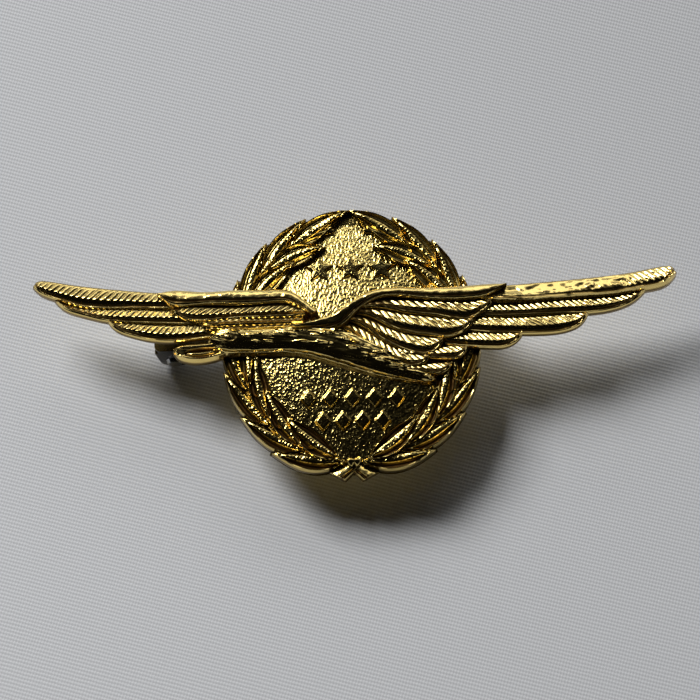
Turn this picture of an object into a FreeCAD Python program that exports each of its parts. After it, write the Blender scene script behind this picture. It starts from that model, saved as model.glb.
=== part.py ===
"""A gilt wings badge: an oval laurel medallion, a flying bird laid over it, and a locking bar pin on its back.

The badge stands as it is worn: -Y is its front, +Z is up and +X is to the right of a reader.
The origin is on the line of the needle, at the middle of the badge.
Its pieces are drawn lying face up, with Y upwards on the face and Z out of it, and are then stood up.
"""

import FreeCAD
import Part
import math
import os
import Sketcher
from FreeCAD import Rotation, Vector

SIZES = {
    # the face, seen from the front
    "span": 62.0,
    "plate_wide": 23.6,
    "plate_tall": 26.2,
    "rim_wide": 25.1,
    "rim_tall": 27.8,
    # heights
    "lift": 4.4,
    "plate_thick": 1.3,
    "leaf_high": 0.8,
    "wing_thick": 1.25,
    "body_high": 2.7,
    "emblem_high": 0.5,
    # the bar pin
    "bar_y": 1.8,
    "strip_wide": 3.0,
    "strip_thick": 0.7,
    "strip_left": 19.1,
    "strip_right": 10.9,
    "needle_z": 1.6,
    "needle_rad": 0.45,
    "hinge_x": 17.3,
    "knuckle_rad": 1.05,
    "knuckle_wide": 1.5,
    "knuckle_bore": 0.55,
    "ear_gap": 1.7,
    "ear_thick": 0.6,
    "ear_bore": 0.52,
    "pivot_rad": 0.5,
    "pivot_head": 0.85,
    "pivot_head_thick": 0.35,
    "root_rad": 0.62,
    "root_end": 14.6,
    "taper_start": 4.6,
    "needle_tip": 10.6,
    "tip_rad": 0.06,
    "catch_left": 7.1,
    "catch_right": 10.3,
    "housing_out": 1.7,
    "housing_bore": 1.34,
    "housing_gap": 130.0,
    "sleeve_out": 1.28,
    "sleeve_bore": 0.86,
    "sleeve_gap": 85.0,
    "flange_rad": 1.56,
    "flange_thick": 0.3,
    "flange_play": 0.05,
    "tab_turn": 50.0,
    "tab_thick": 0.5,
    "tab_bead": 0.35,
    "tab_wide": 1.8,
    # the rivets that hold the bird down
    "rivet_rad": 0.6,
    "rivet_fit": 0.02,
    "rivet_deep": 0.65,
    "rivet_head": 1.0,
    "rivet_head_thick": 0.45,
    "seam": 0.4,
    "seam_long": 18.0,
}

DESIGN_SPAN = 62.0
RIVETS = [(-2.5, -1.4), (3.2, -2.7)]

# Feathers: points along the middle from root to tip, widest width, height as a share of the wing's thickness.
FAR_FEATHERS = [
    ([(-11.5, 1.2), (-17.3, 1.15), (-22.3, 1.9)], 1.75, 0.80),
    ([(-11.5, 2.9), (-21.0, 3.0), (-26.7, 4.0)], 1.8, 0.90),
    ([(-12.5, 4.2), (-23.0, 4.75), (-30.6, 6.35)], 2.0, 1.00),
    ([(-4.0, 1.95), (-10.0, 1.9), (-15.2, 2.0)], 1.1, 1.12),
    ([(-4.2, 2.9), (-10.0, 2.75), (-17.6, 3.25)], 1.45, 1.24),
]
FAR_ARM = ([(-3.4, 2.5), (-4.7, 3.7), (-6.4, 4.35), (-12.0, 4.45), (-18.6, 4.85)], 1.3, 1.50)
NEAR_FEATHERS = [
    ([(9.0, 0.1), (13.0, -0.25), (16.4, 0.05)], 1.6, 0.70),
    ([(9.0, 1.6), (16.5, 1.15), (22.9, 1.9)], 1.85, 0.80),
    ([(9.0, 3.1), (20.0, 3.05), (28.4, 4.25)], 1.85, 0.90),
    ([(11.5, 4.3), (21.0, 4.7), (31.4, 6.35)], 2.1, 1.00),
    ([(3.5, -1.6), (7.5, -2.9), (10.0, -2.3)], 1.4, 0.94),
    ([(4.5, 0.2), (9.0, -1.3), (11.6, -0.7)], 1.5, 1.02),
    ([(-0.6, 1.9), (1.8, -0.35), (4.8, -1.9), (7.9, -1.6)], 1.55, 1.10),
    ([(0.0, 2.4), (3.2, 0.65), (6.4, -0.65), (9.1, 0.0)], 1.65, 1.20),
    ([(0.7, 3.1), (4.5, 1.75), (8.7, 0.95), (12.1, 1.9)], 1.7, 1.30),
    ([(1.9, 3.7), (7.0, 3.05), (11.0, 2.75), (13.9, 3.8)], 1.7, 1.40),
]
NEAR_ARM = ([(-5.4, 1.0), (-2.4, 1.35), (0.1, 3.0), (2.4, 4.4), (8.0, 4.45), (14.2, 4.7)], 1.25, 1.62)

# The bird's body: x, middle y, half width and share of its full height.
BODY_STATIONS = [
    (-13.9, 0.05, 0.45, 0.50),
    (-13.2, 0.15, 0.95, 0.72),
    (-11.9, 0.15, 1.30, 0.90),
    (-9.2, 0.05, 1.30, 0.90),
    (-5.5, -0.05, 1.50, 1.00),
    (-1.5, -0.55, 1.80, 1.00),
    (2.5, -1.9, 1.75, 0.92),
    (5.6, -3.25, 1.00, 0.74),
    (7.9, -3.95, 0.35, 0.55),
]
BODY_WALL = 0.45
BEAK = [(-12.9, 0.35), (-15.6, 0.25), (-17.2, -0.45), (-17.0, -1.5), (-15.8, -1.25), (-12.9, -0.85)]
BEAK_HIGH = 0.62

# Laurel: leaves are placed by angle from the tie, and by their share of the rim's half axes.
LEAF_STEP = 20.35
LEAF_FROM = 4.0
LEAF_TO = 178.0
STEM_SHARE = 0.86
STEM_TURNS = (6.0, 60.0, 120.0, 172.0)
OUTER_LEAF = {"count": 8, "start": 2.6, "turn": 35.0, "share": 0.985, "wide": 2.5, "rise": 0.86}
INNER_LEAF = {"count": 7, "start": 6.5, "turn": 37.0, "share": 0.75, "wide": 2.3, "rise": 1.0}

# Raised marks on the field: how high each row is on the face, how many marks it has and their spacing.
STARS = {"y": 7.6, "count": 3, "pitch": 3.0}
STAR_RADIUS = 1.3
STAR_WAIST = 0.42
LOZENGES = ({"y": -5.7, "count": 5, "pitch": 2.1}, {"y": -7.9, "count": 4, "pitch": 1.9})
LOZENGE_WIDE = 1.5
LOZENGE_TALL = 1.8

doc = FreeCAD.newDocument("wings_pin")
sheet = doc.addObject("Spreadsheet::Sheet", "dims")


def fill_sheet():
    """Writes every driving dimension to the spreadsheet, each under its alias."""
    for row, (alias, value) in enumerate(SIZES.items(), start=1):
        sheet.set(f"A{row}", alias)
        sheet.set(f"B{row}", str(value))
        sheet.setAlias(f"B{row}", alias)
    doc.recompute()


fill_sheet()


def size(alias):
    """A driving dimension, read from the spreadsheet."""
    return float(sheet.get(alias))


WORN = FreeCAD.Placement(Vector(0, size("needle_z"), -size("bar_y")), Rotation(Vector(1, 0, 0), 90))
FIELD_Z = size("lift") + size("plate_thick")
WING_Z = FIELD_Z + size("leaf_high")
SCALE = size("span") / DESIGN_SPAN


def stand(made, x_rule="0", y_rule="0", z_rule="0", turn=Rotation()):
    """Stands up an object that is drawn face up, with its own origin at a place on the lying badge."""
    made.Placement.Rotation = WORN.Rotation.multiply(turn)
    made.setExpression("Placement.Base.x", x_rule)
    made.setExpression("Placement.Base.y", f"dims.needle_z - ({z_rule})")
    made.setExpression("Placement.Base.z", f"{y_rule} - dims.bar_y")
    return made


def bound(kind, name, **rules):
    """A Part primitive whose sizes follow the spreadsheet."""
    made = doc.addObject(kind, name)
    for prop, rule in rules.items():
        made.setExpression(prop, rule)
    return made


def joined(kind, name, *members):
    """A boolean or compound of other objects."""
    made = doc.addObject(kind, name)
    if kind == "Part::Cut":
        made.Base, made.Tool = members
    elif kind == "Part::Compound":
        made.Links = list(members)
    else:
        made.Shapes = list(members)
    return made


def feature(name, shape):
    """A sub-part whose outline is free-form, built by Part's own functions."""
    made = doc.addObject("Part::Feature", name)
    made.Shape = shape
    made.Placement = WORN
    return made


def new_body(name):
    return doc.addObject("PartDesign::Body", name)


def sketch_on(body, name, plane):
    """A sketch on one of the body's own origin planes."""
    made = body.newObject("Sketcher::SketchObject", name)
    found = [f for f in body.Origin.OriginFeatures if f.Role == plane]
    made.AttachmentSupport = [(found[0], "")]
    made.MapMode = "FlatFace"
    return made


def outline(sketch, corners):
    """A closed polygon whose corners are (x rule, y rule) pairs, each held by two bound constraints."""
    doc.recompute()
    count = len(corners)
    spots = []
    for x_rule, y_rule in corners:
        spots.append(Vector(worth(x_rule), worth(y_rule), 0))
    for n in range(count):
        sketch.addGeometry(Part.LineSegment(spots[n], spots[(n + 1) % count]), False)
    for n in range(count):
        sketch.addConstraint(Sketcher.Constraint("Coincident", n, 2, (n + 1) % count, 1))
    for n, rules in enumerate(corners):
        hold(sketch, n, 1, f"corner{n}", spots[n], rules)


def hold(sketch, geometry, point, name, spot, rules):
    """Fixes a sketch point from the origin, with one named constraint for each axis."""
    for axis, value, rule in zip("XY", (spot.x, spot.y), rules):
        index = sketch.addConstraint(Sketcher.Constraint(f"Distance{axis}", -1, 1, geometry, point, value))
        sketch.renameConstraint(index, name + axis)
        sketch.setExpression(f"Constraints.{name}{axis}", rule)


def worth(rule):
    """The value that a rule has now."""
    return float(sheet.evalExpression(rule.replace("dims.", "")))


def ring(sketch, radius_rule, x_rule, y_rule, name):
    """A circle whose radius and centre follow the spreadsheet."""
    spot = Vector(worth(x_rule), worth(y_rule), 0)
    circle = Part.Circle(spot, Vector(0, 0, 1), worth(radius_rule))
    index = sketch.addGeometry(circle, False)
    held = sketch.addConstraint(Sketcher.Constraint("Radius", index, worth(radius_rule)))
    sketch.renameConstraint(held, name)
    sketch.setExpression(f"Constraints.{name}", radius_rule)
    hold(sketch, index, 3, name, spot, (x_rule, y_rule))


def pad(body, sketch, name, length_rule, middle=False):
    made = body.newObject("PartDesign::Pad", name)
    made.Profile = sketch
    made.setExpression("Length", length_rule)
    made.Midplane = middle
    return made


def through(body, sketch, name):
    """A pocket through everything, to both sides of its sketch."""
    made = body.newObject("PartDesign::Pocket", name)
    made.Profile = sketch
    made.Type = "ThroughAll"
    made.Midplane = True
    return made


def spline(points):
    curve = Part.BSplineCurve()
    curve.interpolate(points)
    return curve


def prism(edges, low, high, bevel):
    """A closed flat outline raised from low to high, with its upper edge bevelled."""
    face = Part.Face(Part.Wire(edges))
    face.translate(Vector(0, 0, low))
    solid = face.extrude(Vector(0, 0, high - low))
    if not bevel:
        return solid
    crest = [e for e in solid.Edges if e.BoundBox.ZMin > high - 0.01]
    return solid.makeChamfer(bevel, crest)


def strip_wire(points, wide, taper, inset, height):
    """The outline of a feather: two long edges beside a middle line, a round tip and a straight root."""
    middle = spline([Vector(x * SCALE, y, 0) for x, y in points])
    first = middle.FirstParameter
    last = middle.LastParameter - inset / middle.length() * (middle.LastParameter - first)
    sides = ([], [])
    for share in (0.0, 0.3, 0.62, 0.86, 0.965):
        at = first + share * (last - first)
        along = middle.tangent(at)[0]
        across = Vector(-along.y, along.x, 0)
        half = wide / 2 * taper(share) - inset
        sides[0].append(middle.value(at) + across * half)
        sides[1].append(middle.value(at) - across * half)
    wire = Part.Wire(
        [
            spline(sides[0]).toShape(),
            Part.Arc(sides[0][-1], middle.value(last), sides[1][-1]).toShape(),
            spline(sides[1][::-1]).toShape(),
            Part.makeLine(sides[1][0], sides[0][0]),
        ]
    )
    wire.translate(Vector(0, 0, height))
    return wire


def slab(points, wide, taper, high, bevel):
    """A feather or leading edge: upright sides up to a bevel, and a narrower flat top."""
    foot = strip_wire(points, wide, taper, 0, WING_Z)
    eaves = strip_wire(points, wide, taper, 0, high - bevel)
    top = strip_wire(points, wide, taper, bevel, high)
    return Part.makeLoft([foot, eaves, top], True, True)


def feather_taper(share):
    """A feather is narrower at its root, full past its middle, and drawn in at the tip."""
    return 0.72 + 0.28 * math.sin(math.pi * min(share / 1.1, 0.5)) - 0.35 * max(share - 0.8, 0) / 0.165


def arm_taper(share):
    """The leading edge is thickest at its middle."""
    return 0.62 + 0.38 * math.sin(math.pi * share)


def wing(feathers, arm):
    """All the feathers of one wing, stacked so that each row stands above the one behind it."""
    thick = size("wing_thick")
    solids = []
    for points, wide, share in feathers:
        solids.append(slab(points, wide, feather_taper, WING_Z + thick * share, 0.22))
    points, wide, share = arm
    solids.append(slab(points, wide, arm_taper, WING_Z + thick * share, 0.3))
    return solids[0].multiFuse(solids[1:]).removeSplitter()


def footprint(solid, low, high):
    """The block that lies under and over a solid's outline, made from its downward faces."""
    floor = [f for f in solid.Faces if f.normalAt(0.5, 0.5).z < -0.99]
    blocks = []
    for face in floor:
        flat = face.copy()
        flat.translate(Vector(0, 0, low - face.BoundBox.ZMin))
        blocks.append(flat.extrude(Vector(0, 0, high - low)))
    return blocks[0] if len(blocks) == 1 else blocks[0].multiFuse(blocks[1:])


def body_section(station):
    """An arched section of the bird's body, standing on upright walls."""
    x, y, half, share = station
    low, high = FIELD_Z, FIELD_Z + size("body_high") * share
    wall = low + (high - low) * BODY_WALL
    feet = [Vector(x * SCALE, y - half, low), Vector(x * SCALE, y + half, low)]
    eaves = [Vector(x * SCALE, y - half, wall), Vector(x * SCALE, y + half, wall)]
    arch = Part.Arc(eaves[1], Vector(x * SCALE, y, high), eaves[0]).toShape()
    rise = Part.makeLine(feet[1], eaves[1])
    fall = Part.makeLine(eaves[0], feet[0])
    return Part.Wire([Part.makeLine(feet[0], feet[1]), rise, arch, fall])


def bird():
    """Head, body and tail in one arched loft, with a hooked beak."""
    loft = Part.makeLoft([body_section(s) for s in BODY_STATIONS], True, False)
    corners = [Vector(x * SCALE, y, 0) for x, y in BEAK]
    edges = [
        spline(corners[:3]).toShape(),
        Part.makeLine(corners[2], corners[3]),
        spline(corners[3:]).toShape(),
        Part.makeLine(corners[5], corners[0]),
    ]
    beak = prism(edges, FIELD_Z, FIELD_Z + size("body_high") * BEAK_HIGH, 0.25)
    return loft.fuse(beak)


def rim_point(turn, share):
    """A point at an angle from the tie, going up the left side, at a share of the rim's half axes."""
    a = math.radians(turn)
    return Vector(-size("rim_wide") / 2 * share * math.sin(a), -size("rim_tall") / 2 * share * math.cos(a), 0)


def leaf_edges(kind, n):
    """An almond leaf whose middle line bends with the rim from the stem to its tip."""
    start = max(kind["start"] + n * LEAF_STEP, LEAF_FROM)
    end = min(kind["start"] + kind["turn"] + n * LEAF_STEP, LEAF_TO)
    inner, outer = [], []
    for t in (0.0, 0.25, 0.5, 0.75, 1.0):
        at = start + (end - start) * t
        middle = STEM_SHARE + (kind["share"] - STEM_SHARE) * math.sin(math.pi / 2 * t)
        spread = kind["wide"] / size("rim_wide") * math.sin(math.pi * t) ** 0.85
        inner.append(rim_point(at, middle - spread))
        outer.append(rim_point(at, min(middle + spread, 1.0)))
    return [spline(outer).toShape(), spline(inner[::-1]).toShape()]


def leaves(low, high):
    """Every leaf of the left branch, raised from low to its own share of the way to high."""
    made = []
    for kind in (OUTER_LEAF, INNER_LEAF):
        for n in range(kind["count"]):
            made.append(prism(leaf_edges(kind, n), low, low + (high - low) * kind["rise"], 0))
    return made


def branch():
    """The raised leaves of the left branch on their stem."""
    solids = leaves(FIELD_Z, FIELD_Z + size("leaf_high"))
    low, high = STEM_SHARE - 0.02, STEM_SHARE + 0.02
    first, last = STEM_TURNS[0], STEM_TURNS[-1]
    band = [
        spline([rim_point(t, high) for t in STEM_TURNS]).toShape(),
        Part.makeLine(rim_point(last, high), rim_point(last, low)),
        spline([rim_point(t, low) for t in STEM_TURNS[::-1]]).toShape(),
        Part.makeLine(rim_point(first, low), rim_point(first, high)),
    ]
    solids.append(prism(band, FIELD_Z, FIELD_Z + size("leaf_high") * 0.7, 0))
    return solids[0].multiFuse(solids[1:]).removeSplitter()


def lobes():
    """The plate's edge under the leaves of both branches."""
    left = []
    for kind in (OUTER_LEAF, INNER_LEAF):
        left += [prism(leaf_edges(kind, n), size("lift"), FIELD_Z, 0) for n in range(kind["count"])]
    half = left[0].multiFuse(left[1:])
    return half.fuse(half.mirror(Vector(0, 0, 0), Vector(1, 0, 0)))


def star_edges(middle):
    """The outline of a five-pointed star that points up."""
    corners = []
    for n in range(10):
        reach = STAR_RADIUS if n % 2 == 0 else STAR_RADIUS * STAR_WAIST
        a = math.radians(90 + 36 * n)
        corners.append(middle + Vector(reach * math.cos(a), reach * math.sin(a), 0))
    return [Part.makeLine(corners[n], corners[(n + 1) % 10]) for n in range(10)]


def lozenge_edges(middle):
    """The outline of an upright lozenge."""
    wide, tall = LOZENGE_WIDE / 2, LOZENGE_TALL / 2
    corners = [middle + Vector(x, y, 0) for x, y in ((wide, 0), (0, tall), (-wide, 0), (0, -tall))]
    return [Part.makeLine(corners[n], corners[(n + 1) % 4]) for n in range(4)]


def row_of(row, edges_of):
    """One row of raised marks, spaced evenly about the middle of the face."""
    solids = []
    for n in range(row["count"]):
        middle = Vector((n - (row["count"] - 1) / 2) * row["pitch"], row["y"], 0)
        solids.append(prism(edges_of(middle), FIELD_Z, FIELD_Z + size("emblem_high"), 0))
    return solids


def emblems():
    """A row of stars on the upper field and two rows of lozenges on the lower one."""
    solids = row_of(STARS, star_edges)
    for row in LOZENGES:
        solids += row_of(row, lozenge_edges)
    return Part.makeCompound(solids)


def build_plate():
    blank = stand(new_body("plate_blank"), z_rule="dims.lift")
    oval = sketch_on(blank, "plate_oval", "XY_Plane")
    tall, wide = size("plate_tall") / 2, size("plate_wide") / 2
    oval.addGeometry(Part.Ellipse(Vector(0, tall, 0), Vector(wide, 0, 0), Vector(0, 0, 0)), False)
    oval.exposeInternalGeometry(0)
    oval.addConstraint(Sketcher.Constraint("Coincident", 0, 3, -1, 1))
    oval.addConstraint(Sketcher.Constraint("Vertical", 1))
    for line, name in ((1, "plate_tall"), (2, "plate_wide")):
        index = oval.addConstraint(Sketcher.Constraint("Distance", line, size(name)))
        oval.renameConstraint(index, name)
        oval.setExpression(f"Constraints.{name}", f"dims.{name}")
    pad(blank, oval, "plate_pad", "dims.plate_thick")
    raised = feature("raised_emblems", emblems())
    edge = feature("leaf_lobes", lobes().fuse(tie_stems(size("lift"), FIELD_Z)))
    whole = joined("Part::MultiFuse", "plate_struck", blank, edge, raised)
    holes = rivet_bores("plate", "dims.lift - 1", "dims.plate_thick + 2")
    bores = joined("Part::MultiFuse", "plate_bores", *holes)
    return joined("Part::Cut", "medallion_plate", whole, bores)


def rivet_bores(name, z_rule, length_rule):
    """The holes for the rivets, a little wider than their shanks."""
    made = []
    for n, (x, y) in enumerate(RIVETS):
        hole = bound("Part::Cylinder", f"{name}_bore_{n}", Radius="dims.rivet_rad + dims.rivet_fit", Height=length_rule)
        made.append(stand(hole, str(x), str(y), z_rule))
    return made


def tie_stems(low, high):
    """Two cut stems that cross under the medallion's lowest leaves."""
    bars = []
    for side in (1, -1):
        corners = [(-0.95, -11.6), (-0.3, -11.3), (2.3, -13.3), (1.1, -13.65)]
        spots = [Vector(side * x, y, 0) for x, y in corners]
        edges = [Part.makeLine(spots[n], spots[(n + 1) % 4]) for n in range(4)]
        bars.append(prism(edges, low, high, 0))
    return bars[0].fuse(bars[1])


def build_tie(left):
    """The crossed stems and the band that binds them, and the leaves cut to meet them."""
    stems = feature("tie_stems", tie_stems(FIELD_Z, FIELD_Z + size("leaf_high")))
    band = bound("Part::Box", "tie_band", Length="1.7", Width="0.8", Height="dims.leaf_high + 0.25")
    stand(band, "-0.85", "-12.75", "dims.lift + dims.plate_thick")
    tie = joined("Part::MultiFuse", "branch_tie", stems, band)
    cut = joined("Part::Cut", "laurel_branch_left", left, tie)
    other = doc.addObject("Part::Mirroring", "laurel_branch_right")
    other.Source = cut
    other.Normal = Vector(1, 0, 0)
    other.Base = Vector(0, 0, 0)
    return tie, cut, other


def build_overlay(branches):
    """The bird and its wings, each cut away where a nearer one lies over it. The bird is also notched to sit over
    the laurel."""
    top = FIELD_Z + 10
    near_shape = wing(NEAR_FEATHERS, NEAR_ARM)
    far_shape = wing(FAR_FEATHERS, FAR_ARM)
    bird_shape = bird()
    near = feature("near_wing", near_shape)
    bird_whole = feature("bird_whole", bird_shape.cut(footprint(near_shape, WING_Z, top)))
    holes = rivet_bores("bird", "dims.lift", "dims.plate_thick + dims.rivet_deep")
    hollows = joined("Part::MultiFuse", "bird_hollows", *holes, *branches)
    body = joined("Part::Cut", "bird_body", bird_whole, hollows)
    cover = footprint(bird_shape, WING_Z - 1, top).fuse(footprint(near_shape, WING_Z - 1, top))
    far = feature("far_wing", far_shape.cut(cover))
    return near, body, far


def build_rivets():
    """Each rivet is peened over behind the plate and ends blind in the bird."""
    made = []
    for n, (x, y) in enumerate(RIVETS):
        shank = bound(
            "Part::Cylinder",
            f"rivet_shank_{n}",
            Radius="dims.rivet_rad",
            Height="dims.plate_thick + dims.rivet_deep - dims.rivet_fit",
        )
        head = bound(
            "Part::Cone",
            f"rivet_head_{n}",
            Radius1="dims.rivet_head * 0.7",
            Radius2="dims.rivet_head",
            Height="dims.rivet_head_thick",
        )
        stand(shank, str(x), str(y), "dims.lift")
        stand(head, str(x), str(y), "dims.lift - dims.rivet_head_thick")
        made.append(joined("Part::MultiFuse", f"rivet_{n}", shank, head))
    return joined("Part::Compound", "overlay_rivets", *made)


def build_strip():
    body = stand(new_body("bar_strip"), "0", "dims.bar_y", "dims.lift - dims.strip_thick")
    plan = sketch_on(body, "strip_plan", "XY_Plane")
    half = "dims.strip_wide / 2"
    outline(
        plan,
        [
            ("-dims.strip_left", f"-{half}"),
            ("dims.strip_right", f"-{half}"),
            ("dims.strip_right", half),
            ("-dims.strip_left", half),
        ],
    )
    flat = pad(body, plan, "strip_pad", "dims.strip_thick")
    doc.recompute()
    rounded = body.newObject("PartDesign::Fillet", "strip_corners")
    rounded.Base = (flat, upright_edges(flat.Shape))
    rounded.Radius = 0.6
    return body


def upright_edges(shape):
    """The names of the edges that run along Z in the body's own frame."""
    names = []
    for n, edge in enumerate(shape.Edges, start=1):
        box = edge.BoundBox
        if box.XLength < 0.01 and box.YLength < 0.01:
            names.append(f"Edge{n}")
    return names


def build_bracket():
    """A bent channel whose two ears carry the hinge rivet."""
    body = stand(new_body("hinge_bracket"), "0", "dims.bar_y")
    side = sketch_on(body, "ear_side", "XZ_Plane")
    top = "dims.lift - dims.strip_thick"
    outline(
        side,
        [
            ("-dims.strip_left", top),
            ("-dims.hinge_x - 1.25", "dims.needle_z - 1.3"),
            ("-dims.hinge_x + 1.25", "dims.needle_z - 1.3"),
            ("-dims.hinge_x + 2.4", top),
        ],
    )
    block = pad(body, side, "ear_pad", "dims.ear_gap + 2 * dims.ear_thick", middle=True)
    doc.recompute()
    low = size("needle_z") - 1.3
    feet = []
    for n, edge in enumerate(block.Shape.Edges, start=1):
        box = edge.BoundBox
        if box.ZMax < low + 0.01 and box.XLength < 0.01:
            feet.append(f"Edge{n}")
    toes = body.newObject("PartDesign::Fillet", "ear_toes")
    toes.Base = (block, feet)
    toes.Radius = 1.0
    gap = sketch_on(body, "ear_channel", "YZ_Plane")
    half = "dims.ear_gap / 2"
    outline(gap, [(f"-{half}", "-1"), (half, "-1"), (half, "dims.needle_z + 1.4"), (f"-{half}", "dims.needle_z + 1.4")])
    through(body, gap, "ear_channel_cut")
    bore = sketch_on(body, "ear_bore_circle", "XZ_Plane")
    ring(bore, "dims.ear_bore", "-dims.hinge_x", "dims.needle_z", "ear_bore")
    through(body, bore, "ear_bore_cut")
    return body


def build_pivot():
    """The rivet that the pin turns on, turned from one profile."""
    body = stand(new_body("hinge_rivet"), "-dims.hinge_x", "dims.bar_y", "dims.needle_z")
    profile = sketch_on(body, "rivet_profile", "XY_Plane")
    reach = "(dims.ear_gap / 2 + dims.ear_thick + 0.02)"
    end = f"({reach} + dims.pivot_head_thick)"
    outline(
        profile,
        [
            ("0", f"-{end}"),
            ("dims.pivot_head * 0.8", f"-{end}"),
            ("dims.pivot_head", f"-{reach}"),
            ("dims.pivot_rad", f"-{reach}"),
            ("dims.pivot_rad", reach),
            ("dims.pivot_head", reach),
            ("dims.pivot_head * 0.8", end),
            ("0", end),
        ],
    )
    turned = body.newObject("PartDesign::Revolution", "rivet_turned")
    turned.Profile = profile
    turned.ReferenceAxis = (profile, ["V_Axis"])
    turned.Angle = 360
    return body


def build_stem():
    """The needle: a turned wire with a thicker root and a drawn point, fused to a bored knuckle."""
    needle = stand(new_body("needle"), "0", "dims.bar_y", "dims.needle_z")
    profile = sketch_on(needle, "needle_profile", "XY_Plane")
    outline(
        profile,
        [
            ("-dims.hinge_x", "0"),
            ("dims.needle_tip", "0"),
            ("dims.needle_tip", "dims.tip_rad"),
            ("dims.taper_start", "dims.needle_rad"),
            ("-dims.root_end", "dims.needle_rad"),
            ("-dims.root_end", "dims.root_rad"),
            ("-dims.hinge_x", "dims.root_rad"),
        ],
    )
    turned = needle.newObject("PartDesign::Revolution", "needle_turned")
    turned.Profile = profile
    turned.ReferenceAxis = (profile, ["H_Axis"])
    turned.Angle = 360
    knuckle = bound("Part::Cylinder", "knuckle", Radius="dims.knuckle_rad", Height="dims.knuckle_wide")
    eye = bound("Part::Cylinder", "knuckle_eye", Radius="dims.knuckle_bore", Height="dims.knuckle_wide + 2")
    across = Rotation(Vector(1, 0, 0), 90)
    stand(knuckle, "-dims.hinge_x", "dims.bar_y + dims.knuckle_wide / 2", "dims.needle_z", across)
    stand(eye, "-dims.hinge_x", "dims.bar_y + dims.knuckle_wide / 2 + 1", "dims.needle_z", across)
    whole = joined("Part::MultiFuse", "needle_and_knuckle", needle, knuckle)
    return joined("Part::Cut", "pin_stem", whole, eye)


def tube(name, radius_rule, left_rule, right_rule, gap=360):
    """A round bar along the needle's line, or a wedge of one whose middle faces away from the plate."""
    made = bound("Part::Cylinder", name, Radius=radius_rule, Height=f"({right_rule}) - ({left_rule})")
    made.Angle = gap
    along = Rotation(Vector(1, 0, 0), -gap / 2).multiply(Rotation(Vector(0, 1, 0), 90))
    return stand(made, left_rule, "dims.bar_y", "dims.needle_z", along)


def build_catch():
    """The fixed housing of the catch: an open ring on a foot under the strip."""
    left, right = "dims.catch_left", "dims.catch_right"
    outer = tube("housing_round", "dims.housing_out", left, right)
    foot = bound(
        "Part::Box",
        "housing_foot",
        Length=f"{right} - {left}",
        Width="dims.strip_wide - 0.4",
        Height="dims.lift - dims.strip_thick - dims.needle_z",
    )
    stand(foot, left, "dims.bar_y - dims.strip_wide / 2 + 0.2", "dims.needle_z")
    whole = joined("Part::MultiFuse", "housing_blank", outer, foot)
    bore = tube("housing_hollow", "dims.housing_bore", f"{left} - 1", f"{right} + 1")
    mouth = tube("housing_mouth", "dims.housing_out + 1", f"{left} - 1", f"{right} + 1", size("housing_gap"))
    hollow = joined("Part::MultiFuse", "housing_open", bore, mouth)
    return joined("Part::Cut", "catch_housing", whole, hollow)


def build_sleeve():
    """The turning lock: an open tube with two end flanges and a thumb tab, shown unlocked."""
    left, right = "dims.catch_left", "dims.catch_right"
    inset = "(dims.flange_play + dims.flange_thick)"
    barrel = tube("sleeve_round", "dims.sleeve_out", f"{left} - {inset}", f"{right} + {inset}")
    first = tube("flange_left", "dims.flange_rad", f"{left} - {inset}", f"{left} - dims.flange_play")
    second = tube("flange_right", "dims.flange_rad", f"{right} + dims.flange_play", f"{right} + {inset}")
    solid = joined("Part::MultiFuse", "sleeve_blank", barrel, first, second)
    bore = tube("sleeve_hollow", "dims.sleeve_bore", f"{left} - 2", f"{right} + 2")
    mouth = tube("sleeve_mouth", "dims.flange_rad + 1", f"{left} - 2", f"{right} + 2", size("sleeve_gap"))
    hollow = joined("Part::MultiFuse", "sleeve_open", bore, mouth)
    opened = joined("Part::Cut", "sleeve_tube", solid, hollow)
    lever, bead = build_tab()
    return joined("Part::MultiFuse", "safety_sleeve", opened, lever, bead)


def build_tab():
    """The thumb tab beside the sleeve's mouth. Its bead is the lowest point of the badge."""
    middle = (size("catch_left") + size("catch_right")) / 2
    turn = Rotation(Vector(1, 0, 0), -size("tab_turn"))
    reach = (size("needle_z") - size("tab_bead")) / math.cos(math.radians(size("tab_turn")))
    start = size("sleeve_bore") + 0.1
    lever = bound("Part::Box", "tab_lever", Length="dims.tab_wide", Width="dims.tab_thick")
    lever.Height = reach - start
    bead = bound("Part::Cylinder", "tab_bead_bar", Radius="dims.tab_bead", Height="dims.tab_wide")
    origin = Vector(middle, size("bar_y"), size("needle_z"))
    corner = Vector(-size("tab_wide") / 2, -size("tab_thick") / 2, -reach)
    lever.Placement = WORN.multiply(FreeCAD.Placement(origin + turn.multVec(corner), turn))
    end = Vector(-size("tab_wide") / 2, 0, -reach)
    along = turn.multiply(Rotation(Vector(0, 1, 0), 90))
    bead.Placement = WORN.multiply(FreeCAD.Placement(origin + turn.multVec(end), along))
    return lever, bead


def build_seams():
    """Solder fillets along both edges of the strip, where it crosses the plate."""
    made = []
    for name, edge, side in (("seam_low", "-", -1), ("seam_high", "+", 1)):
        body = stand(new_body(name), "-dims.seam_long / 2", f"dims.bar_y {edge} dims.strip_wide / 2", "dims.lift")
        corner = sketch_on(body, name + "_profile", "YZ_Plane")
        outline(corner, [("0", "0"), (f"{side} * dims.seam", "0"), ("0", "-dims.seam")])
        pad(body, corner, name + "_pad", "dims.seam_long")
        made.append(body)
    return joined("Part::Compound", "solder_seams", *made)


def check_all():
    """Stops if any object failed to rebuild."""
    doc.recompute()
    for item in doc.Objects:
        if "Invalid" in item.State or "Error" in item.State:
            raise RuntimeError(f"{item.Name} failed: {item.State}")


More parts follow.
